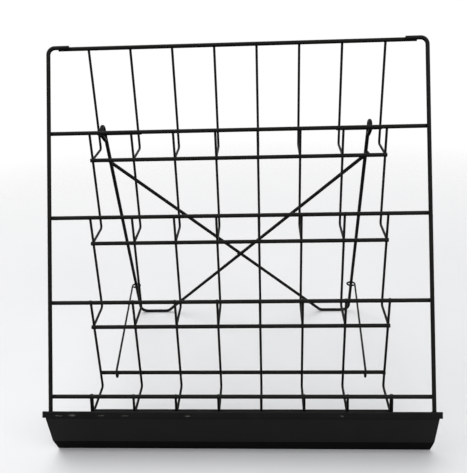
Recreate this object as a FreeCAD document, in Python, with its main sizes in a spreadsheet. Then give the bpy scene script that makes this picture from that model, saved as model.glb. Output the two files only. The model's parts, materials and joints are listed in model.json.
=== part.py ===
import FreeCAD, Part
import math
import os
import Sketcher
from FreeCAD import Placement, Rotation, Vector

# Tiered wire literature rack with a folding rear stand, for a table top.
# The mesh leans back; the stand hangs from two short pivot rods behind it and
# two wire links hook over the rear rod to hold the stand open.
#
# World frame: X across the rack, +Y towards the back, +Z up. The origin is the
# centre of the front panel's folded foot, on the table.
# Mesh frame: "up" runs up the leaning mesh and "back" runs square to it; both are
# zero where the plane of the front cross rods meets the table.

# Driving sizes: millimetres and degrees
SIZES = (
    ("rod_diameter", 4.8, "uprights, cross rods, pivot rods and stand"),
    ("wire_diameter", 3.0, "mesh wires"),
    ("edge_wire_diameter", 4.4, "the two outermost lip wires"),
    ("link_diameter", 2.8, "links"),
    ("weld_gap", 0.05, "left between two pieces that are welded side by side"),
    ("loose_gap", 0.3, "left between two pieces that only rest together"),
    ("lean_angle", 25.0, "mesh from the vertical"),
    ("upright_half_spacing", 224.0, "middle of the rack to an upright"),
    ("upright_foot_height", 66.5, "lower end of the uprights, up the mesh"),
    ("upright_bend_radius", 8.0, "bend at the top of an upright"),
    ("upright_tip_reach", 25.0, "upright to the tip of its bent top"),
    ("cross_rod_overrun", 2.0, "front cross rod past an upright's middle"),
    ("top_rod_overlap", 14.0, "top rod past an upright's tip"),
    ("last_rod_rise", 22.1, "lowest front rod above the uprights' lower ends"),
    ("last_rod_drop", 9.9, "how far the lowest front rod sits under the pitch"),
    ("tier_pitch", 101.6, "from tier to tier, up the mesh"),
    ("top_tier_rise", 102.1, "top rod above the highest front cross rod"),
    ("column_pitch", 50.8, "from wire to wire across the rack"),
    ("floor_drop", 31.0, "floor rod under its front rod's pitch line"),
    ("wire_slope", 22.5, "long leg of a mesh wire from the mesh plane"),
    ("kick_slope", 28.4, "short leg of a mesh wire from the square to the mesh"),
    ("wire_bend_radius", 4.0, "bend between the two legs of a mesh wire"),
    ("wire_rise", 0.4, "wire above the point where it is welded"),
    ("lip_tail", 3.0, "lip wire below its weld to the floor rod"),
    ("rear_rod_rise", 7.5, "rear rod above the lowest pitch line"),
    ("pivot_rise", 8.7, "pivot rods above the highest front cross rod"),
    ("stand_angle", 20.4, "opened stand from the vertical"),
    ("eye_radius", 6.5, "bend of the stand's eyes"),
    ("eye_play", 0.5, "between a pivot rod and the leg behind it"),
    ("eye_rise", 3.5, "centre of the eye's bend above the pivot"),
    ("eye_turn", 215.0, "bend of an eye"),
    ("eye_inset", 8.8, "eye inside the outermost mesh wire"),
    ("eye_side_shift", -4.0, "stand's side play taken up at the eyes"),
    ("leg_spread", 12.0, "corner at a foot further out than its eye"),
    ("foot_side_shift", -6.5, "side play taken up at the feet"),
    ("stand_foot_run", 48.0, "foot on the table, between its two bends"),
    ("stand_corner_radius", 12.0, "bends at the stand's feet"),
    ("brace_bend_radius", 200.0, "slight bend of a brace where it crosses the other"),
    ("left_brace_drop", 55.0, "brace weld on the left leg below the pivot"),
    ("right_brace_drop", 41.0, "brace weld on the right leg below the pivot"),
    ("brace_overrun", 4.0, "brace past its weld"),
    ("ring_height", 66.8, "link ring above the table"),
    ("ring_radius", 6.2, "bend of a link's ring"),
    ("hook_radius", 4.8, "bend of a link's hook"),
    ("hook_inset", 21.1, "hook inside the outermost mesh wire"),
    ("hook_side_shift", -1.5, "side play taken up at the hooks"),
    ("hook_arm", 8.0, "straight end of a hook under the rear rod"),
    ("panel_thickness", 1.2, "front panel sheet"),
    ("hem_overhang", 8.0, "hem past an upright's middle"),
    ("hem_step", 3.2, "panel's edge inside the end of its hem"),
    ("foot_depth", 10.0, "folded foot on the table"),
    ("foot_bend_radius", 1.8, "bend between foot and lower band"),
    ("band_angle", 25.0, "lower band from the vertical"),
    ("band_height", 21.5, "lower band's upper end above the foot"),
    ("band_bend_radius", 6.0, "bend between lower band and face"),
    ("face_angle", 8.0, "face from the vertical"),
    ("hem_bend_radius", 2.4, "bend between face and hem"),
    ("hem_back", 6.0, "back layer of the hem"),
    ("hem_front", 5.6, "front layer of the hem"),
    ("hem_fold_radius", 0.9, "fold over the top of the hem"),
    ("notch_depth", 20.0, "side cut of the panel, front to back and past its edge"),
)
WIRE_COLUMNS = 8
TIERS = 3
SIDES = (("left", -1), ("right", 1))

doc = FreeCAD.newDocument("literature_rack")
sheet = doc.addObject("Spreadsheet::Sheet", "Sizes")
for row, (name, value, note) in enumerate(SIZES, start=1):
    sheet.set("A%d" % row, name)
    sheet.set("B%d" % row, str(value))
    sheet.setAlias("B%d" % row, name)
    sheet.set("C%d" % row, note)
doc.recompute()
size = {name: float(sheet.get(name)) for name, value, note in SIZES}
subparts = []


def sine(name):
    return math.sin(math.radians(size[name]))


def cosine(name):
    return math.cos(math.radians(size[name]))


def tangent(name):
    return math.tan(math.radians(size[name]))


def cell(formula):
    """Write the sheet's name in front of every size in a formula."""
    words = []
    for word in formula.replace("(", " ( ").replace(")", " ) ").split():
        words.append("Sizes." + word if word in size else word)
    text = " ".join(words)
    for function in ("sin", "cos", "sqrt"):
        text = text.replace(function + " (", function + "(")
    return text


# Formulas that several pieces share
FLOOR_BACK = "( floor_drop * sin(wire_slope) / cos(wire_slope) )"
HEM_HALF = "( upright_half_spacing + hem_overhang )"
CROSS_ROD_HALF = "( upright_half_spacing + cross_rod_overrun )"
TOP_ROD_HALF = "( upright_half_spacing - upright_tip_reach + top_rod_overlap )"
HEM_BACK = "( 3 * rod_diameter / 2 + 2 * weld_gap + panel_thickness / 2 )"
HEM_HEIGHT = (
    "( ( upright_foot_height - loose_gap ) * cos(lean_angle) + %s * sin(lean_angle) "
    "- panel_thickness / 2 )" % HEM_BACK
)

# The same values as numbers, for placing
rod_radius = size["rod_diameter"] / 2
weld = (size["rod_diameter"] + size["wire_diameter"]) / 2 + size["weld_gap"]
rod_step = size["rod_diameter"] + size["weld_gap"]
floor_run = size["floor_drop"] / cosine("wire_slope")
floor_back = size["floor_drop"] * tangent("wire_slope")
last_front_height = size["upright_foot_height"] + size["last_rod_rise"]
lowest_pitch_height = last_front_height + size["last_rod_drop"]
front_heights = [
    lowest_pitch_height + (TIERS - tier) * size["tier_pitch"] for tier in range(TIERS + 1)
]
floor_heights = [height - size["floor_drop"] for height in front_heights]
top_rod_height = front_heights[0] + size["top_tier_rise"]
pivot_height = front_heights[0] + size["pivot_rise"]
rear_rod_height = lowest_pitch_height + size["rear_rod_rise"]
columns = [(place - (WIRE_COLUMNS - 1) / 2) * size["column_pitch"] for place in range(WIRE_COLUMNS)]
outer_column = columns[-1]
hem_half = size["upright_half_spacing"] + size["hem_overhang"]
panel_half = hem_half - size["hem_step"]
cross_rod_half = size["upright_half_spacing"] + size["cross_rod_overrun"]
top_rod_half = size["upright_half_spacing"] - size["upright_tip_reach"] + size["top_rod_overlap"]
eye_half_spacing = outer_column - size["eye_inset"]
corner_half_spacing = eye_half_spacing + size["leg_spread"]
foot_bend_half_spacing = corner_half_spacing - size["stand_foot_run"]
hook_half_spacing = outer_column - size["hook_inset"]

# Section of the panel from its foot up to the hem, which sets where the mesh stands
hem_back_distance = 3 * rod_radius + 2 * size["weld_gap"] + size["panel_thickness"] / 2
hem_height = (
    (size["upright_foot_height"] - size["loose_gap"]) * cosine("lean_angle")
    + hem_back_distance * sine("lean_angle")
    - size["panel_thickness"] / 2
)
foot_arc_top = size["foot_bend_radius"] * (1 - sine("band_angle"))
foot_arc_front = -size["foot_depth"] - size["foot_bend_radius"] * cosine("band_angle")
band_front = foot_arc_front - (size["band_height"] - foot_arc_top) * tangent("band_angle")
face_start = size["band_height"] + size["band_bend_radius"] * (sine("band_angle") - sine("face_angle"))
face_front = band_front - size["band_bend_radius"] * (cosine("face_angle") - cosine("band_angle"))
face_end = hem_height - size["hem_bend_radius"] * (sine("face_angle") + sine("lean_angle"))
face_top_front = face_front - (face_end - face_start) * tangent("face_angle")
hem_front_place = face_top_front + size["hem_bend_radius"] * (cosine("face_angle") - cosine("lean_angle"))
mesh_start = (
    hem_front_place
    + size["foot_depth"] / 2
    - ((hem_height + size["panel_thickness"] / 2) * sine("lean_angle") - hem_back_distance)
    / cosine("lean_angle")
)


def mesh_point(across, up, back):
    """World point of a place given across, up and behind the leaning mesh."""
    return Vector(
        across,
        mesh_start + up * sine("lean_angle") + back * cosine("lean_angle"),
        up * cosine("lean_angle") - back * sine("lean_angle"),
    )


def behind_wire(rod_height, up):
    """Distance behind the mesh plane of a rod welded behind a wire's long leg."""
    return 2 * weld / cosine("wire_slope") + (rod_height - up) * tangent("wire_slope")


def straight_rod(label, start, rotation, radius, length):
    """Straight round rod from a start point, along the turned Z axis."""
    rod = doc.addObject("Part::Cylinder", label)
    rod.Label = label
    rod.setExpression("Radius", cell(radius))
    rod.setExpression("Height", cell(length))
    rod.Placement = Placement(start, rotation)
    subparts.append(rod)
    return rod


def cross_rod(label, start_across, up, back, length):
    """Rod that runs across the mesh, from its left end."""
    start = mesh_point(start_across, up, back)
    along_x = Rotation(Vector(0, 1, 0), 90)
    return straight_rod(label, start, along_x, "rod_diameter / 2", length)


def origin_plane(body, role):
    for feature in body.Origin.OriginFeatures:
        if feature.Role == role:
            return feature


def new_sketch(body, name, role):
    sketch = body.newObject("Sketcher::SketchObject", body.Name + "_" + name)
    sketch.AttachmentSupport = (origin_plane(body, role), [""])
    sketch.MapMode = "FlatFace"
    return sketch


def bind(sketch, constraint, formula):
    """Add a dimension to a sketch and bind it to the sheet."""
    index = sketch.addConstraint(constraint)
    sketch.setExpression("Constraints[%d]" % index, cell(formula))


def draw_path(sketch, places):
    """Draw lines joined by tangent arcs, from the two ends of every line in turn.

    Returns the lines and the arcs between them.
    """
    lines = []
    for start, end in places:
        lines.append(sketch.addGeometry(Part.LineSegment(start, end), False))
    sketch.addConstraint(Sketcher.Constraint("Coincident", lines[0], 1, -1, 1))
    arcs = []
    for number, (here, following) in enumerate(zip(places, places[1:])):
        along = (here[1] - here[0]).normalize()
        chord = following[0] - here[1]
        left_turn = along.cross(chord).z > 0
        normal = Vector(-along.y, along.x, 0) * (1 if left_turn else -1)
        radius = chord.Length ** 2 / (2 * normal.dot(chord))
        centre = here[1] + normal * radius
        first, last = (here[1], following[0]) if left_turn else (following[0], here[1])
        first_angle = math.atan2(first.y - centre.y, first.x - centre.x)
        last_angle = math.atan2(last.y - centre.y, last.x - centre.x)
        if last_angle < first_angle:
            last_angle += 2 * math.pi
        circle = Part.Circle(centre, Vector(0, 0, 1), radius)
        arc = sketch.addGeometry(Part.ArcOfCircle(circle, first_angle, last_angle), False)
        near_end = 1 if left_turn else 2
        sketch.addConstraint(Sketcher.Constraint("Tangent", lines[number], 2, arc, near_end))
        sketch.addConstraint(Sketcher.Constraint("Tangent", arc, 3 - near_end, lines[number + 1], 1))
        arcs.append(arc)
    return lines, arcs


def new_body(label):
    body = doc.addObject("PartDesign::Body", label)
    body.Label = label
    subparts.append(body)
    return body


def bent_rod(label, corners, bends, diameter, place):
    """Round rod along straight runs, with each inner corner bent by a named radius."""
    body = new_body(label)
    runs = []
    last = corners[0]
    for number, bend in enumerate(bends, start=1):
        before = (corners[number] - corners[number - 1]).normalize()
        after = (corners[number + 1] - corners[number]).normalize()
        turn = before.getAngle(after)
        trim = size[bend] * math.tan(turn / 2)
        start = corners[number] - before * trim
        inward = (after - before).normalize()
        centre = corners[number] + inward * (size[bend] / math.cos(turn / 2))
        joined = last.distanceToPoint(start) < size["weld_gap"] / 10
        if not joined:
            runs.append([last, start])
        if joined and runs and runs[-1][-1] == bend:
            runs[-1][3] += turn
        else:
            runs.append([centre, before.cross(after).normalize(), (start - centre).normalize(), turn, bend])
        last = corners[number] + after * trim
    runs.append([last, corners[-1]])
    for number, run in enumerate(runs, start=1):
        name = "%s_run_%d" % (label, number)
        if len(run) == 2:
            piece = body.newObject("PartDesign::AdditiveCylinder", name)
            along = run[1] - run[0]
            piece.setExpression("Radius", cell(diameter + " / 2"))
            piece.Height = along.Length
            piece.Placement = Placement(run[0], Rotation(Vector(0, 0, 1), along))
        else:
            centre, axis, start_way, turn, bend = run
            piece = body.newObject("PartDesign::AdditiveTorus", name)
            piece.setExpression("Radius1", cell(bend))
            piece.setExpression("Radius2", cell(diameter + " / 2"))
            piece.Angle3 = math.degrees(turn)
            piece.Placement = Placement(centre, Rotation(start_way, axis.cross(start_way), axis, "ZXY"))
        doc.recompute([piece])
    body.Tip = piece
    body.Placement = place
    return body


# Mesh wires: a long leg that slopes down and back from a front rod, a bend, and a
# short leg that comes forward to the next tier, level with its floor rod
kick = math.radians(size["kick_slope"] - size["wire_slope"])
wire_radius = size["wire_diameter"] / 2
end_behind_wire = wire_radius * (1 + math.sin(kick)) + size["weld_gap"]
end_behind_rod = (rod_radius + size["weld_gap"]) * math.cos(kick) + weld * math.sin(kick) ** 2


def tier_wire(label, across, rod_height, pitch, end_back):
    """One mesh wire; end_back is how far its end stays behind the next tier's wires."""
    next_wire = -pitch * sine("wire_slope")
    next_floor = -floor_run - size["wire_rise"] - pitch * cosine("wire_slope")
    corner = Vector(0, 0, next_floor - next_wire * math.tan(kick))
    end = Vector(0, next_wire + end_back, next_floor + end_back * math.tan(kick))
    start = mesh_point(
        across,
        rod_height + weld * sine("wire_slope") + size["wire_rise"] * cosine("wire_slope"),
        weld * cosine("wire_slope") - size["wire_rise"] * sine("wire_slope"),
    )
    place = Placement(start, Rotation(Vector(1, 0, 0), size["wire_slope"] - size["lean_angle"]))
    corners = [Vector(), corner, end]
    bent_rod(label, corners, ["wire_bend_radius"], "wire_diameter", place)


for number, across in enumerate(columns, start=1):
    label = "top_wire_%d" % number
    tier_wire(label, across, top_rod_height, size["top_tier_rise"], end_behind_wire)
    for tier in range(TIERS):
        label = "tier_%d_wire_%d" % (tier + 1, number)
        # The lowest tier has no wires in front of its short legs, which end at the floor rod
        end_back = end_behind_wire if tier < TIERS - 1 else end_behind_rod - weld
        tier_wire(label, across, front_heights[tier], size["tier_pitch"], end_back)

# Lip wires: straight, behind the lowest front rod and in front of the last floor rod
lip_fall = size["floor_drop"] - size["last_rod_drop"]
for number, across in enumerate(columns, start=1):
    outermost = number in (1, WIRE_COLUMNS)
    wire_name = "edge_wire_diameter" if outermost else "wire_diameter"
    lip_weld = (size["rod_diameter"] + size[wire_name]) / 2 + size["weld_gap"]
    centre_distance = math.hypot(lip_fall, floor_back)
    lip_turn = math.atan2(floor_back, lip_fall) - math.asin(2 * lip_weld / centre_distance)
    span = math.sqrt(centre_distance ** 2 - 4 * lip_weld ** 2)
    reach = span + size["lip_tail"]
    start = mesh_point(
        across,
        last_front_height + lip_weld * math.sin(lip_turn) - reach * math.cos(lip_turn),
        lip_weld * math.cos(lip_turn) + reach * math.sin(lip_turn),
    )
    rotation = Rotation(Vector(1, 0, 0), math.degrees(lip_turn) - size["lean_angle"])
    gap = "( ( rod_diameter + %s ) / 2 + weld_gap )" % wire_name
    length = (
        "sqrt(( floor_drop - last_rod_drop ) ^ 2 + %s ^ 2 - 4 * %s ^ 2 ) + lip_tail + wire_rise"
        % (FLOOR_BACK, gap)
    )
    straight_rod("lip_wire_%d" % number, start, rotation, wire_name + " / 2", length)

# Cross rods in front of the wires
cross_rod("top_rod", -top_rod_half, top_rod_height, 0, "2 * " + TOP_ROD_HALF)
for number, height in enumerate(front_heights[:TIERS] + [last_front_height], start=1):
    cross_rod("front_rod_%d" % number, -cross_rod_half, height, 0, "2 * " + CROSS_ROD_HALF)

# Floor rods in front of the wires and a rear rod behind them, as long as the mesh is wide
MESH_WIDTH = "%d * column_pitch + wire_diameter" % (WIRE_COLUMNS - 1)
mesh_edge = outer_column + size["wire_diameter"] / 2
for number, height in enumerate(floor_heights, start=1):
    cross_rod("floor_rod_%d" % number, -mesh_edge, height, floor_back, MESH_WIDTH)
rear_back = behind_wire(front_heights[TIERS - 1], rear_rod_height)
cross_rod("rear_rod", -mesh_edge, rear_rod_height, rear_back, MESH_WIDTH)

# Pivot rods behind the two outer top wires on each side
pivot_back = behind_wire(top_rod_height, pivot_height)
PIVOT_LENGTH = "column_pitch + 2 * wire_diameter"
pivot_inner = outer_column - size["column_pitch"] - size["wire_diameter"]
pivot_outer = outer_column + size["wire_diameter"]
cross_rod("left_pivot_rod", -pivot_outer, pivot_height, pivot_back, PIVOT_LENGTH)
cross_rod("right_pivot_rod", pivot_inner, pivot_height, pivot_back, PIVOT_LENGTH)

# Uprights: in front of the cross rods, their tops bent inward along the top rod
upright_height = top_rod_height - size["upright_foot_height"]
for side, sign in SIDES:
    foot = mesh_point(sign * size["upright_half_spacing"], size["upright_foot_height"], -rod_step)
    place = Placement(foot, Rotation(Vector(1, 0, 0), -size["lean_angle"]))
    top = Vector(0, 0, upright_height)
    tip = Vector(-sign * size["upright_tip_reach"], 0, upright_height)
    bent_rod(side + "_upright", [Vector(), top, tip], ["upright_bend_radius"], "rod_diameter", place)

# Front panel: one sheet bent into a foot, a lower band, a face and a folded hem
panel = new_body("front_panel")
path = new_sketch(panel, "path", "YZ_Plane")
lean_along = Vector(sine("lean_angle"), cosine("lean_angle"), 0)
lean_across = Vector(-cosine("lean_angle"), sine("lean_angle"), 0)
hem_start = Vector(hem_front_place, hem_height, 0)
hem_top = hem_start + lean_along * size["hem_back"]
fold_front = hem_top + lean_across * (2 * size["hem_fold_radius"])
places = (
    (Vector(), Vector(-size["foot_depth"], 0, 0)),
    (Vector(foot_arc_front, foot_arc_top, 0), Vector(band_front, size["band_height"], 0)),
    (Vector(face_front, face_start, 0), Vector(face_top_front, face_end, 0)),
    (hem_start, hem_top),
    (fold_front, fold_front - lean_along * size["hem_front"]),
)
lines, arcs = draw_path(path, places)
bend_names = ("foot_bend_radius", "band_bend_radius", "hem_bend_radius", "hem_fold_radius")
for arc, bend_name in zip(arcs, bend_names):
    bind(path, Sketcher.Constraint("Radius", arc, size[bend_name]), bend_name)
path.addConstraint(Sketcher.Constraint("Horizontal", lines[0]))
path.addConstraint(Sketcher.Constraint("Parallel", lines[3], lines[4]))
bind(path, Sketcher.Constraint("Distance", lines[0], size["foot_depth"]), "foot_depth")
bind(path, Sketcher.Constraint("Distance", lines[3], size["hem_back"]), "hem_back")
bind(path, Sketcher.Constraint("Distance", lines[4], size["hem_front"]), "hem_front")
bind(
    path,
    Sketcher.Constraint("DistanceY", -1, 1, lines[1], 2, size["band_height"]),
    "band_height",
)
bind(path, Sketcher.Constraint("DistanceY", -1, 1, lines[3], 1, hem_height), HEM_HEIGHT)
bind(
    path,
    Sketcher.Constraint("Angle", lines[1], math.radians(90 + size["band_angle"])),
    "90 + band_angle",
)
bind(
    path,
    Sketcher.Constraint("Angle", lines[2], math.radians(90 + size["face_angle"])),
    "90 + face_angle",
)
bind(
    path,
    Sketcher.Constraint("Angle", lines[3], math.radians(90 - size["lean_angle"])),
    "90 - lean_angle",
)


def draw_rectangle(sketch, left, right, bottom, top):
    """Draw a rectangle and return its four lines: bottom, right, top, left."""
    places = ((left, bottom), (right, bottom), (right, top), (left, top))
    corners = [Vector(across, along, 0) for across, along in places]
    edges = []
    for start, end in zip(corners, corners[1:] + corners[:1]):
        edges.append(sketch.addGeometry(Part.LineSegment(start, end), False))
    for before, after in zip(edges, edges[1:] + edges[:1]):
        sketch.addConstraint(Sketcher.Constraint("Coincident", before, 2, after, 1))
    for number, edge in enumerate(edges):
        direction = "Vertical" if number % 2 else "Horizontal"
        sketch.addConstraint(Sketcher.Constraint(direction, edge))
    return edges


half_sheet = size["panel_thickness"] / 2
section = new_sketch(panel, "section", "XZ_Plane")
edges = draw_rectangle(section, -hem_half, hem_half, -half_sheet, half_sheet)
section.addConstraint(Sketcher.Constraint("Symmetric", edges[0], 1, edges[1], 2, -1, 1))
bind(section, Sketcher.Constraint("Distance", edges[0], 2 * hem_half), "2 * " + HEM_HALF)
bind(section, Sketcher.Constraint("Distance", edges[1], size["panel_thickness"]), "panel_thickness")
doc.recompute()
pipe = panel.newObject("PartDesign::AdditivePipe", "front_panel_sheet")
pipe.Profile = section
pipe.Spine = (path, [""])
panel.Tip = pipe
doc.recompute()
whole_volume = panel.Shape.Volume

# The panel is a little narrower below its hem
notches = new_sketch(panel, "notches", "XZ_Plane")
for side, sign in SIDES:
    inner = sign * panel_half
    outer = inner + sign * size["notch_depth"]
    left, right = sorted((inner, outer))
    edges = draw_rectangle(notches, left, right, -size["notch_depth"], hem_height)
    inner_edge = edges[3] if sign > 0 else edges[1]
    ends = (-1, 1, inner_edge, 1) if sign > 0 else (inner_edge, 1, -1, 1)
    bind(notches, Sketcher.Constraint("DistanceX", *ends, panel_half), HEM_HALF + " - hem_step")
    bind(notches, Sketcher.Constraint("Distance", edges[0], size["notch_depth"]), "notch_depth")
    bind(notches, Sketcher.Constraint("DistanceY", -1, 1, edges[2], 1, hem_height), HEM_HEIGHT)
    bind(
        notches,
        Sketcher.Constraint("DistanceY", edges[0], 1, -1, 1, size["notch_depth"]),
        "notch_depth",
    )
doc.recompute()
pocket = panel.newObject("PartDesign::Pocket", "front_panel_notches")
pocket.Profile = notches
pocket.Type = "ThroughAll"
pocket.SideType = "Symmetric"
panel.Tip = pocket
panel.Placement = Placement(Vector(0, size["foot_depth"] / 2, half_sheet), Rotation())
doc.recompute()
if panel.Shape.Volume > whole_volume - half_sheet:
    raise RuntimeError("the side notches of the panel cut nothing")


def turned_corners(start, along, towards, radius, turn, steps):
    """Corner points of an arc that leaves a point along one way and turns towards another.

    Returns the corners, the point where the arc ends and the direction there.
    """
    step_turn = math.radians(turn) / steps
    trim = radius * math.tan(step_turn / 2)
    corners = []
    point = start
    angle = 0.0
    for step in range(steps):
        direction = along * math.cos(angle) + towards * math.sin(angle)
        corner = point + direction * trim
        corners.append(corner)
        angle += step_turn
        direction = along * math.cos(angle) + towards * math.sin(angle)
        point = corner + direction * trim
    return corners, point, direction


# Stand: two rods in one plane. Each is an eye, a leg, a foot and a brace that crosses
# to the other leg. Local axes: X across, Y out of the stand's plane towards the back,
# Z up the legs; the origin is on the pivot line in the middle of the rack.
pivot = mesh_point(0, pivot_height, pivot_back)
leg_back = size["rod_diameter"] + size["eye_play"]
foot_drop = (pivot.z + leg_back * sine("stand_angle") - rod_radius) / cosine("stand_angle")
stand_place = Placement(pivot, Rotation(Vector(1, 0, 0), size["stand_angle"]))
eye_drop = -size["eye_rise"]


def leg_across(sign, drop):
    """Place of a leg across the rack at a distance below the pivot."""
    eye = sign * eye_half_spacing + size["eye_side_shift"]
    corner = sign * corner_half_spacing + size["foot_side_shift"]
    return eye + (corner - eye) * (drop - eye_drop) / (foot_drop - eye_drop)


def weld_drop(sign):
    """Distance below the pivot of the far end of the brace that starts from one side's foot."""
    return size["left_brace_drop"] if sign > 0 else size["right_brace_drop"]


def brace_across(sign, drop):
    """Place of the brace that starts from one side's foot, across the rack."""
    bend = sign * foot_bend_half_spacing + size["foot_side_shift"]
    weld_place = leg_across(-sign, weld_drop(sign))
    rise = (foot_drop - drop) / (foot_drop - weld_drop(sign))
    return bend + (weld_place - bend) * rise


# Both braces are straight lines, so their crossing follows from two of their places
pivot_spread = brace_across(1, 0) - brace_across(-1, 0)
foot_spread = brace_across(1, foot_drop) - brace_across(-1, foot_drop)
cross_drop = foot_drop * (1 - foot_spread / (foot_spread - pivot_spread))

for side, sign in SIDES:
    # The right rod's brace passes behind the left leg, the left one's in front of the right leg
    out = sign * rod_step
    leg_top = Vector(leg_across(sign, eye_drop), leg_back, -eye_drop)
    corner = Vector(leg_across(sign, foot_drop), leg_back, -foot_drop)
    up_leg = (leg_top - corner).normalize()
    forward = Vector(0, -1, 0)
    eye_corners, eye_end, tail_along = turned_corners(
        leg_top, up_leg, forward, size["eye_radius"], size["eye_turn"], 3
    )
    tail_turn = math.radians(size["eye_turn"] - 180)
    tail_room = leg_back - rod_radius - size["weld_gap"] - rod_radius * math.cos(tail_turn) - eye_end.y
    tail = eye_end + tail_along * (tail_room / math.sin(tail_turn))
    foot_bend_across = brace_across(sign, foot_drop)
    foot_bend = Vector(foot_bend_across, leg_back, -foot_drop)
    crossing = Vector(brace_across(sign, cross_drop), leg_back + out / 2, -cross_drop)
    end_drop = weld_drop(sign)
    brace_weld = Vector(brace_across(sign, end_drop), leg_back + out, -end_drop)
    brace_along = (brace_weld - crossing).normalize()
    brace_end = brace_weld + brace_along * size["brace_overrun"]
    corners = [tail] + eye_corners[::-1] + [corner, foot_bend, crossing, brace_end]
    bends = ["eye_radius"] * len(eye_corners)
    bends += ["stand_corner_radius"] * 2 + ["brace_bend_radius"]
    bent_rod(side + "_stand_rod", corners, bends, "rod_diameter", stand_place)

# Links: a ring round the leg, a long shank over the rear rod and a hook round it
rear = mesh_point(0, rear_rod_height, rear_back)
ring_drop = (pivot.z + leg_back * sine("stand_angle") - size["ring_height"]) / cosine("stand_angle")
link_radius = size["link_diameter"] / 2
over_rod = rod_radius + link_radius + size["loose_gap"]
for side, sign in SIDES:
    ring = stand_place.multVec(Vector(leg_across(sign, ring_drop), leg_back, -ring_drop))
    hook_across = sign * hook_half_spacing + size["hook_side_shift"]
    # The shank leaves the ring on its outer side and passes square above the rear rod
    flat = Vector(0, rear.y - ring.y, rear.z - ring.z)
    climb = math.asin(over_rod / flat.Length)
    flat_along = Rotation(Vector(1, 0, 0), -math.degrees(climb)).multVec(flat).normalize()
    lift = Vector(1, 0, 0).cross(flat_along).normalize()
    if lift.z < 0:
        lift = lift * -1
    run = math.sqrt(flat.Length ** 2 - over_rod ** 2)
    side_step = hook_across - ring.x
    slant = math.atan2(side_step, run)
    slant -= math.asin(sign * size["ring_radius"] / math.hypot(side_step, run))
    shank_along = flat_along * math.cos(slant) + Vector(math.sin(slant), 0, 0)
    outward = (Vector(math.cos(slant), 0, 0) - flat_along * math.sin(slant)) * sign
    shank_length = math.sqrt(side_step ** 2 + run ** 2 - size["ring_radius"] ** 2)
    closing = math.acos(
        (size["ring_radius"] - link_radius - size["weld_gap"]) / (size["ring_radius"] + link_radius)
    )
    ring_turn = 360 - math.degrees(closing)
    shank_start = outward * size["ring_radius"]
    ring_corners, ring_end, ring_end_along = turned_corners(
        shank_start, shank_along * -1, outward * -1, size["ring_radius"], ring_turn, 5
    )
    shank_end = shank_start + shank_along * shank_length
    hook_corners, arm_start, arm_along = turned_corners(
        shank_end, shank_along, lift * -1, size["hook_radius"], 180, 2
    )
    arm_end = arm_start + arm_along * size["hook_arm"]
    start = ring_corners[-1] + ring_end_along * (ring_end - ring_corners[-1]).Length
    corners = [start] + ring_corners[::-1] + hook_corners + [arm_end]
    bends = ["ring_radius"] * len(ring_corners) + ["hook_radius"] * len(hook_corners)
    bent_rod(side + "_link", corners, bends, "link_diameter", Placement(ring, Rotation()))

doc.recompute()

# Every object and every sub-part is checked before anything is written
for item in doc.Objects:
    if "Invalid" in item.State or "Error" in item.State:
        raise RuntimeError("failed object: " + item.Name + " " + str(item.State))
for item in subparts:
    if item.Shape.isNull() or not item.Shape.isValid():
        raise RuntimeError("bad shape: " + item.Label)

os.makedirs("parts", exist_ok=True)
for item in subparts:
    item.Shape.exportStep("parts/" + item.Label + ".step")
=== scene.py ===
import json
import math
import random

import bmesh
import bpy
from mathutils import Matrix, Vector, noise


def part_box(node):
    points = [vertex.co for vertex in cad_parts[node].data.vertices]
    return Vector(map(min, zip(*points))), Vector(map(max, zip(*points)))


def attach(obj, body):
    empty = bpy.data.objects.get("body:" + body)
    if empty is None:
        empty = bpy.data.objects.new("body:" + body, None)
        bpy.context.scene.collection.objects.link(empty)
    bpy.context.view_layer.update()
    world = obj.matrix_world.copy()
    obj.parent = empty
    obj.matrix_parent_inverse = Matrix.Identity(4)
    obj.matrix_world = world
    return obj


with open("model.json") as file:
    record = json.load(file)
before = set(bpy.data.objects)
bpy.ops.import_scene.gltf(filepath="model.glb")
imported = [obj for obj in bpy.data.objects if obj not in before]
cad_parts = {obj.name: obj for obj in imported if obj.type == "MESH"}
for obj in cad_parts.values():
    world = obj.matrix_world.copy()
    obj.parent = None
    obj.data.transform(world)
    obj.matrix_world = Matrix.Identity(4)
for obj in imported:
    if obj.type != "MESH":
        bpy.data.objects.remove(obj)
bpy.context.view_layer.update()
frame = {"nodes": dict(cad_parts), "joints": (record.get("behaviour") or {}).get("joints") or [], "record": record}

# Sizes in metres and tilts from upright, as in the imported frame
ROD_RADIUS = 0.0024
WIRE_RADIUS = 0.0015
HEM_OVERHANG = 0.008
TIP_OVERLAP = 0.014
LEAN = math.radians(25.0)
WIRE_TILT = math.radians(2.5)
STAND_TILT = math.radians(20.4)

TOP_ROD = "top_rod"
FRONT_RODS = ("front_rod_1", "front_rod_2", "front_rod_3")
LIP_ROD = "front_rod_4"
FLOOR_RODS = ("floor_rod_1", "floor_rod_2", "floor_rod_3")
LAST_FLOOR_ROD = "floor_rod_4"
WIRE_COLUMNS = 8

scene = bpy.context.scene
random.seed(7)


def middle(name):
    low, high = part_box(name)
    return (Vector(low) + Vector(high)) / 2


def backward(tilt):
    """The way straight back through a face whose top leans back by an angle."""
    return Vector((0.0, math.cos(tilt), -math.sin(tilt)))


ACROSS = Vector((1.0, 0.0, 0.0))
WIRE_BACK = backward(WIRE_TILT)
MESH_BACK = backward(LEAN)
hem_low, hem_high = (Vector(corner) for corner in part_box("front_panel"))
upright_x = hem_high.x - HEM_OVERHANG
top_rod_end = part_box(TOP_ROD)[1][0]
tip_end = top_rod_end - TIP_OVERLAP
columns = [middle("tier_1_wire_%d" % number).x for number in range(1, WIRE_COLUMNS + 1)]


# Shader nodes


def node(tree, kind, **values):
    made = tree.nodes.new(kind)
    for name, value in values.items():
        setattr(made, name, value)
    return made


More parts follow.
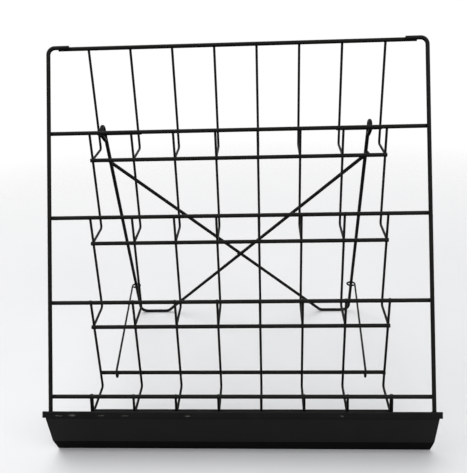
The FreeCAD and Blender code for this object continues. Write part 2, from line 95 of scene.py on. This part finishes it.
def feed(tree, socket, value):
    """Set a socket to a plain value, or link it to another node's output."""
    if isinstance(value, (int, float, tuple)):
        socket.default_value = value
    else:
        tree.links.new(value, socket)


def noise_at(tree, coords, scale, detail=4.0, rough=0.55):
    made = node(tree, "ShaderNodeTexNoise")
    made.inputs["Scale"].default_value = scale
    made.inputs["Detail"].default_value = detail
    made.inputs["Roughness"].default_value = rough
    tree.links.new(coords, made.inputs["Vector"])
    return made.outputs["Fac"]


def remap(tree, value, source, target=(0.0, 1.0)):
    """Carry a value from one range to another, held at the ends."""
    made = node(tree, "ShaderNodeMapRange")
    made.inputs["From Min"].default_value, made.inputs["From Max"].default_value = source
    made.inputs["To Min"].default_value, made.inputs["To Max"].default_value = target
    tree.links.new(value, made.inputs["Value"])
    return made.outputs["Result"]


def maths(tree, operation, first, second):
    made = node(tree, "ShaderNodeMath", operation=operation, use_clamp=True)
    feed(tree, made.inputs[0], first)
    feed(tree, made.inputs[1], second)
    return made.outputs["Value"]


def mixed(tree, factor, first, second):
    made = node(tree, "ShaderNodeMix", data_type="RGBA")
    feed(tree, made.inputs["Factor"], factor)
    feed(tree, made.inputs["A"], first)
    feed(tree, made.inputs["B"], second)
    return made.outputs["Result"]


# Paint: colours are linear, and noise scales count features along a metre

PATCH_SCALE = 38.0
FINE_SCALE = 420.0
SPECK_SCALE = 160.0
RAGGED_SCALE = 520.0
PATCH_RANGE = (0.35, 0.70)
GLOSS_RANGE = (0.30, 0.75)
SPECK_RANGE = (0.42, 0.68)
SPECK_WEIGHT = (0.2, 1.0)
RAGGED_RANGE = (0.44, 0.54)
MARK_EDGE = (1.0, 0.6)
# Ranges of the normal's upright part, from turned down to level and from sloping to flat
TURNED_DOWN = (-0.40, -0.20)
TURNED_UP = (0.35, 1.0)
GLOSSIER, DULLER = 0.07, 0.09
COARSE_SHARE, FINE_SHARE = 0.7, 0.3
# Painted shade: the near-black colour given to faces turned down
UNDERSIDE_PAINTED_SHADE = (0.0012, 0.0012, 0.0012, 1.0)
DUST_COLOUR = (0.035, 0.0345, 0.033, 1.0)
WORN_COLOUR = (0.085, 0.082, 0.075, 1.0)
WORN_METAL = 0.9
SPECULAR = 0.05
BUMP_STRENGTH = 0.5


def mark(tree, coords, place, half_sizes):
    """One inside a soft ellipsoid round a place, zero outside."""
    shift = node(tree, "ShaderNodeVectorMath", operation="SUBTRACT")
    shift.inputs[1].default_value = place
    tree.links.new(coords, shift.inputs[0])
    scale = node(tree, "ShaderNodeVectorMath", operation="DIVIDE")
    scale.inputs[1].default_value = half_sizes
    tree.links.new(shift.outputs["Vector"], scale.inputs[0])
    length = node(tree, "ShaderNodeVectorMath", operation="LENGTH")
    tree.links.new(scale.outputs["Vector"], length.inputs[0])
    return remap(tree, length.outputs["Value"], MARK_EDGE)


def chipped(tree, coords, chips):
    """One on the ragged patches where the paint has come off."""
    worn = mark(tree, coords, *chips[0])
    for chip in chips[1:]:
        worn = maths(tree, "MAXIMUM", worn, mark(tree, coords, *chip))
    ragged = remap(tree, noise_at(tree, coords, RAGGED_SCALE, rough=0.65), RAGGED_RANGE)
    return maths(tree, "MULTIPLY", worn, ragged)


def normal_height(tree):
    """How far a face is turned up: one flat on top, minus one underneath."""
    normal = node(tree, "ShaderNodeNewGeometry").outputs["Normal"]
    parts = node(tree, "ShaderNodeSeparateXYZ")
    tree.links.new(normal, parts.inputs["Vector"])
    return parts.outputs["Z"]


def black_paint(name, colour, light_colour, rough, grain, grain_depth, chips=(), dust=0.12):
    """Sprayed black paint with patches, fine grain, settled dust, painted shade and matt roughness on the
    undersides, and worn chips.
    """
    material = bpy.data.materials.new(name)
    material.use_nodes = True
    tree = material.node_tree
    shader = tree.nodes["Principled BSDF"]
    coords = node(tree, "ShaderNodeTexCoord").outputs["Object"]
    height = normal_height(tree)
    patches = noise_at(tree, coords, PATCH_SCALE, detail=5.0)

    # Faces turned down are painted near black as painted shade, and dust lies on those turned up
    paint = mixed(tree, remap(tree, patches, PATCH_RANGE), colour, light_colour)
    paint = mixed(tree, remap(tree, height, TURNED_DOWN), UNDERSIDE_PAINTED_SHADE, paint)
    speckle = noise_at(tree, coords, SPECK_SCALE, detail=6.0, rough=0.7)
    specks = remap(tree, speckle, SPECK_RANGE, SPECK_WEIGHT)
    settled = maths(tree, "MULTIPLY", remap(tree, height, TURNED_UP, (0.0, dust)), specks)
    paint = mixed(tree, settled, paint, DUST_COLOUR)

    # Faces turned down are dry and matt, so that they take little light from the table
    roughness = remap(tree, patches, GLOSS_RANGE, (rough - GLOSSIER, rough + DULLER))
    matt = remap(tree, height, TURNED_DOWN, (1.0, 0.0))
    tree.links.new(maths(tree, "MAXIMUM", roughness, matt), shader.inputs["Roughness"])

    if chips:
        worn = chipped(tree, coords, chips)
        paint = mixed(tree, worn, paint, WORN_COLOUR)
        tree.links.new(maths(tree, "MULTIPLY", worn, WORN_METAL), shader.inputs["Metallic"])
    tree.links.new(paint, shader.inputs["Base Color"])
    shader.inputs["Specular IOR Level"].default_value = SPECULAR

    bump = node(tree, "ShaderNodeBump")
    bump.inputs["Strength"].default_value = BUMP_STRENGTH
    bump.inputs["Distance"].default_value = grain_depth
    coarse_grain = maths(tree, "MULTIPLY", noise_at(tree, coords, grain, detail=2.0), COARSE_SHARE)
    fine_grain = maths(tree, "MULTIPLY", noise_at(tree, coords, FINE_SCALE, detail=3.0), FINE_SHARE)
    tree.links.new(maths(tree, "ADD", coarse_grain, fine_grain), bump.inputs["Height"])
    tree.links.new(bump.outputs["Normal"], shader.inputs["Normal"])
    return material


# Marks along the front panel's hem: a place and three half sizes each
HEM_FACE_BACK = 0.001
HEM_MARK_DROP = 0.0038
HEM_END_BACK = 0.002
HEM_END_DROP = 0.003
HEM_END_CHIP = (0.0012, 0.0050, 0.0045)


def hem_chip(x, lift, half_sizes):
    return (x, hem_low.y + HEM_FACE_BACK, hem_high.z - HEM_MARK_DROP + lift), half_sizes


def hem_end_chip(x):
    return (x, hem_low.y + HEM_END_BACK, hem_high.z - HEM_END_DROP), HEM_END_CHIP


panel_chips = (
    hem_chip(-0.2125, 0.0, (0.0050, 0.0040, 0.0009)),
    hem_chip(-0.1965, 0.0004, (0.0050, 0.0040, 0.0013)),
    hem_chip(-0.1620, 0.0002, (0.0045, 0.0036, 0.00063)),
    hem_chip(-0.1340, 0.0, (0.0054, 0.0036, 0.00054)),
    hem_end_chip(hem_low.x),
    hem_end_chip(hem_high.x),
    hem_chip(0.1180, 0.0, (0.0030, 0.0040, 0.0010)),
    hem_chip(-0.0600, -0.0002, (0.0035, 0.0040, 0.0009)),
)
ROD_COLOUR = (0.0055, 0.0055, 0.0048, 1.0)
mesh_paint = black_paint(
    "mesh_paint",
    ROD_COLOUR,
    light_colour=(0.0085, 0.0085, 0.0075, 1.0),
    rough=0.38,
    grain=900.0,
    grain_depth=0.00005,
)
stand_paint = black_paint(
    "stand_paint",
    ROD_COLOUR,
    light_colour=(0.0090, 0.0090, 0.0080, 1.0),
    rough=0.40,
    grain=900.0,
    grain_depth=0.00005,
)
link_paint = black_paint(
    "link_paint",
    (0.0060, 0.0060, 0.0053, 1.0),
    light_colour=(0.0100, 0.0100, 0.0090, 1.0),
    rough=0.44,
    grain=1200.0,
    grain_depth=0.00004,
)
panel_paint = black_paint(
    "panel_paint",
    (0.0048, 0.0050, 0.0047, 1.0),
    light_colour=(0.0068, 0.0072, 0.0068, 1.0),
    rough=0.44,
    grain=620.0,
    grain_depth=0.00007,
    chips=panel_chips,
    dust=0.08,
)
weld_paint = black_paint(
    "weld_paint",
    (0.0050, 0.0050, 0.0047, 1.0),
    light_colour=(0.0090, 0.0090, 0.0082, 1.0),
    rough=0.46,
    grain=1500.0,
    grain_depth=0.0001,
)

SLOT_PAINT = {
    "mesh_black": mesh_paint,
    "stand_black": stand_paint,
    "link_black": link_paint,
    "panel_black": panel_paint,
}
for entry in frame["record"]["subparts"]:
    thing = frame["nodes"][entry["node"]]
    paint = SLOT_PAINT[entry["material_slot"]]
    if not thing.material_slots:
        thing.data.materials.append(paint)
    for place in thing.material_slots:
        place.material = paint


# Weld beads: small lumps of melted wire in the corner between two crossing rods

NUGGET = (0.0024, 0.0010, 0.0017)
BUTT_BEAD = (0.0017, 0.0009, 0.0017)
PIVOT_BEAD = (0.0028, 0.0011, 0.0020)
EDGE_BEAD = (0.0027, 0.0011, 0.0024)
TIP_BEAD = (0.0040, 0.0009, 0.0016)
FOOT_BEAD = (0.0034, 0.0014, 0.0026)
CROSSING_BEAD = (0.0036, 0.0014, 0.0030)
BRACE_BEAD = (0.0044, 0.0013, 0.0024)
EYE_BEAD = (0.0034, 0.0010, 0.0018)
BEAD_SWELL = (0.9, 1.12)
BEAD_SHIFT = 0.0002
BULGE = 0.16
BULGE_SCALE = 1.7
NOISE_STEP = 900.0


def beads(name, body, places):
    """One piece of beads; each is a place, a long axis, a facing axis and three half sizes."""
    mesh = bmesh.new()
    for place, along, facing, half_sizes in places:
        made = bmesh.ops.create_icosphere(mesh, subdivisions=2, radius=1.0)
        across = along.cross(facing).normalized()
        facing = across.cross(along).normalized()
        turn = Matrix((along.normalized(), facing, across)).transposed().to_4x4()
        swell = random.uniform(*BEAD_SWELL)
        shift_along = random.uniform(-BEAD_SHIFT, BEAD_SHIFT)
        shift_back = random.uniform(-BEAD_SHIFT, BEAD_SHIFT)
        start = place + Vector((shift_along, shift_back, 0.0))
        for vertex in made["verts"]:
            bulge = 1.0 + BULGE * noise.noise(vertex.co * BULGE_SCALE + place * NOISE_STEP)
            local = Vector([c * h for c, h in zip(vertex.co * bulge * swell, half_sizes)])
            vertex.co = start + turn @ local
    data = bpy.data.meshes.new(name)
    mesh.to_mesh(data)
    mesh.free()
    data.polygons.foreach_set("use_smooth", [True] * len(data.polygons))
    data.materials.append(weld_paint)
    piece = bpy.data.objects.new(name, data)
    scene.collection.objects.link(piece)
    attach(piece, body)


def bead(rod, x, back, offset, half_sizes):
    """A bead at a place along a rod, moved back from the rod's axis by an offset."""
    centre = middle(rod)
    return Vector((x, centre.y, centre.z)) + back * offset, ACROSS, back, half_sizes


# Front welds: each cross rod on the wires behind it
front_beads = []
for rod in (TOP_ROD,) + FRONT_RODS:
    for x in columns:
        front_beads.append(bead(rod, x, WIRE_BACK, ROD_RADIUS, NUGGET))
for x in columns:
    front_beads.append(bead(LIP_ROD, x, MESH_BACK, ROD_RADIUS, NUGGET))
beads("front_welds", "rack", front_beads)

# Floor welds: floor rods lie in front of the wires, whose short legs end behind them; the
# last one has lip wires in front of it instead and takes the short legs itself
floor_beads = []
for rod in FLOOR_RODS:
    for x in columns:
        floor_beads.append(bead(rod, x, WIRE_BACK, ROD_RADIUS, NUGGET))
        floor_beads.append(bead(rod, x, WIRE_BACK, ROD_RADIUS + 2 * WIRE_RADIUS, BUTT_BEAD))
for x in columns:
    floor_beads.append(bead(LAST_FLOOR_ROD, x, MESH_BACK, -ROD_RADIUS, NUGGET))
    floor_beads.append(bead(LAST_FLOOR_ROD, x, WIRE_BACK, ROD_RADIUS, BUTT_BEAD))
for x in columns:
    floor_beads.append(bead("rear_rod", x, WIRE_BACK, -ROD_RADIUS, NUGGET))
for rod, pair in (("left_pivot_rod", columns[:2]), ("right_pivot_rod", columns[-2:])):
    for x in pair:
        floor_beads.append(bead(rod, x, WIRE_BACK, -ROD_RADIUS, PIVOT_BEAD))
beads("floor_welds", "rack", floor_beads)

# Edge welds: front rods on the uprights, the uprights' tips on the top rod and their feet
# in the panel's hem
TIP_BEAD_INSET = 0.0025
ROD_BEAD_INSET = 0.0015
FOOT_BEAD_BACK = 0.0075
FOOT_BEAD_DROP = 0.0045
edge_beads = []
for sign in (-1.0, 1.0):
    for rod in FRONT_RODS + (LIP_ROD,):
        edge_beads.append(bead(rod, sign * upright_x, MESH_BACK, -ROD_RADIUS, EDGE_BEAD))
    for x in (tip_end + TIP_BEAD_INSET, top_rod_end - ROD_BEAD_INSET):
        edge_beads.append(bead(TOP_ROD, sign * x, MESH_BACK, -ROD_RADIUS, TIP_BEAD))
    foot = Vector((sign * upright_x, hem_low.y + FOOT_BEAD_BACK, hem_high.z - FOOT_BEAD_DROP))
    edge_beads.append((foot, ACROSS, MESH_BACK, FOOT_BEAD))
beads("edge_welds", "rack", edge_beads)

# Stand welds: where the braces cross, at each brace's end and at each eye; a place is
# how far it is across the rack, behind the pivot and down from the pivot
CROSSING = (-0.0085, 0.0053, 0.2327)
BRACE_ENDS = ((0.1661, 0.0029, 0.0410), (-0.1752, 0.0077, 0.0550))
EYE_ENDS = ((0.1653, 0.0029, 0.0100), (-0.1735, 0.0029, 0.0100))
CROSSING_SLOPE = 0.2
pivot = Vector(next(joint["pos_m"] for joint in frame["joints"] if joint["name"] == "stand_fold"))
stand_down = Vector((0.0, math.sin(STAND_TILT), -math.cos(STAND_TILT)))
stand_back = backward(-STAND_TILT)


def on_stand(x, back, drop):
    return Vector((x, pivot.y, pivot.z)) + stand_back * back + stand_down * drop


crossing_axis = (ACROSS + stand_down * CROSSING_SLOPE).normalized()
stand_beads = [(on_stand(*CROSSING), crossing_axis, stand_back, CROSSING_BEAD)]
for half_sizes, ends in ((BRACE_BEAD, BRACE_ENDS), (EYE_BEAD, EYE_ENDS)):
    for end in ends:
        stand_beads.append((on_stand(*end), stand_down, stand_back, half_sizes))
beads("stand_welds", "stand", stand_beads)


# Floor: a plain pale sheet that fades into the white surroundings away from the rack

FLOOR_HALF = 6.0
FLOOR_CORNERS = ((-1, -1), (1, -1), (1, 1), (-1, 1))
FLOOR_SCALE = 3.0
FLOOR_PATCH_RANGE = (0.3, 0.7)
FLOOR_DARK = (0.66, 0.66, 0.66, 1.0)
FLOOR_LIGHT = (0.69, 0.69, 0.69, 1.0)
FLOOR_ROUGH = 0.6
FADE_RANGE = (0.45, 1.5)


def floor_paint():
    material = bpy.data.materials.new("floor_pale")
    material.use_nodes = True
    tree = material.node_tree
    shader = tree.nodes["Principled BSDF"]
    coords = node(tree, "ShaderNodeTexCoord").outputs["Object"]
    patches = remap(tree, noise_at(tree, coords, FLOOR_SCALE), FLOOR_PATCH_RANGE)
    tree.links.new(mixed(tree, patches, FLOOR_DARK, FLOOR_LIGHT), shader.inputs["Base Color"])
    shader.inputs["Roughness"].default_value = FLOOR_ROUGH
    distance = node(tree, "ShaderNodeVectorMath", operation="LENGTH")
    tree.links.new(coords, distance.inputs[0])
    clear = node(tree, "ShaderNodeBsdfTransparent")
    blend = node(tree, "ShaderNodeMixShader")
    tree.links.new(remap(tree, distance.outputs["Value"], FADE_RANGE), blend.inputs[0])
    tree.links.new(shader.outputs["BSDF"], blend.inputs[1])
    tree.links.new(clear.outputs["BSDF"], blend.inputs[2])
    tree.links.new(blend.outputs["Shader"], tree.nodes["Material Output"].inputs["Surface"])
    return material


floor_mesh = bpy.data.meshes.new("floor")
corners = [(x * FLOOR_HALF, y * FLOOR_HALF, 0.0) for x, y in FLOOR_CORNERS]
floor_mesh.from_pydata(corners, [], [(0, 1, 2, 3)])
floor_mesh.materials.append(floor_paint())
floor = bpy.data.objects.new("floor", floor_mesh)
scene.collection.objects.link(floor)


# Light: a large soft lamp overhead, weaker ones in front and behind, and a pale sky


def lamp(name, place, target, size, power):
    data = bpy.data.lights.new(name, "AREA")
    data.shape = "RECTANGLE"
    data.size, data.size_y = size
    data.energy = power
    made = bpy.data.objects.new(name, data)
    made.location = place
    made.rotation_mode = "QUATERNION"
    made.rotation_quaternion = (Vector(target) - Vector(place)).to_track_quat("-Z", "Y")
    scene.collection.objects.link(made)


lamp("key", place=(-0.7, 0.1, 1.9), target=(0.0, 0.1, 0.2), size=(1.6, 1.4), power=30.0)
lamp("fill", place=(0.9, -1.1, 1.5), target=(0.0, 0.0, 0.1), size=(1.4, 1.0), power=17.0)
lamp("rear", place=(0.4, 1.5, 1.5), target=(0.0, 0.2, 0.2), size=(1.6, 0.8), power=6.0)

# The camera, gloss and glass see a white sky; everything else is lit by a dimmer one
SEEN_RAYS = ("Is Camera Ray", "Is Glossy Ray", "Is Transmission Ray")
SEEN_COLOUR = (1.0, 1.0, 1.0, 1.0)
SEEN_STRENGTH = 1.0
LIT_COLOUR = (0.93, 0.96, 1.0, 1.0)
LIT_STRENGTH = 0.42


def background(tree, colour, strength):
    made = node(tree, "ShaderNodeBackground")
    made.inputs["Color"].default_value = colour
    made.inputs["Strength"].default_value = strength
    return made.outputs["Background"]


world = bpy.data.worlds.new("sky")
world.use_nodes = True
sky = world.node_tree
sky.nodes.clear()
ray = node(sky, "ShaderNodeLightPath")
seen = ray.outputs[SEEN_RAYS[0]]
for kind in SEEN_RAYS[1:]:
    seen = maths(sky, "MAXIMUM", seen, ray.outputs[kind])
choice = node(sky, "ShaderNodeMixShader")
output = node(sky, "ShaderNodeOutputWorld")
sky.links.new(seen, choice.inputs[0])
sky.links.new(background(sky, LIT_COLOUR, LIT_STRENGTH), choice.inputs[1])
sky.links.new(background(sky, SEEN_COLOUR, SEEN_STRENGTH), choice.inputs[2])
sky.links.new(choice.outputs["Shader"], output.inputs["Surface"])
scene.world = world


# Camera: fitted to the straight rods of the photograph; lengths on the picture are in
# pixels, turns in radians and the camera's place in metres

WIDTH, HEIGHT = 467.0, 473.0
FOCAL, CENTRE_X, CENTRE_Y = 555.03, 239.32, 233.19
YAW, PITCH, ROLL = -0.05194, 0.41859, -0.03454
CAMERA_PLACE = (0.03338, -0.52239, 0.52108)
SENSOR_WIDTH = 36.0

camera_data = bpy.data.cameras.new("camera")
camera_data.sensor_fit = "HORIZONTAL"
camera_data.sensor_width = SENSOR_WIDTH
camera_data.lens = FOCAL / WIDTH * SENSOR_WIDTH
camera_data.shift_x = (WIDTH / 2 - CENTRE_X) / WIDTH
camera_data.shift_y = (CENTRE_Y - HEIGHT / 2) / WIDTH
camera = bpy.data.objects.new("camera", camera_data)
scene.collection.objects.link(camera)
level = Vector((math.cos(YAW), -math.sin(YAW), 0.0))
bearing = Vector((math.sin(YAW), math.cos(YAW), 0.0))
ahead = bearing * math.cos(PITCH) - Vector((0.0, 0.0, math.sin(PITCH)))
upward = bearing * math.sin(PITCH) + Vector((0.0, 0.0, math.cos(PITCH)))
right = level * math.cos(ROLL) + upward * math.sin(ROLL)
up = upward * math.cos(ROLL) - level * math.sin(ROLL)
camera.rotation_mode = "QUATERNION"
camera.rotation_quaternion = Matrix((right, up, -ahead)).transposed().to_quaternion()
camera.location = CAMERA_PLACE
scene.camera = camera
scene.view_settings.view_transform = "Standard"
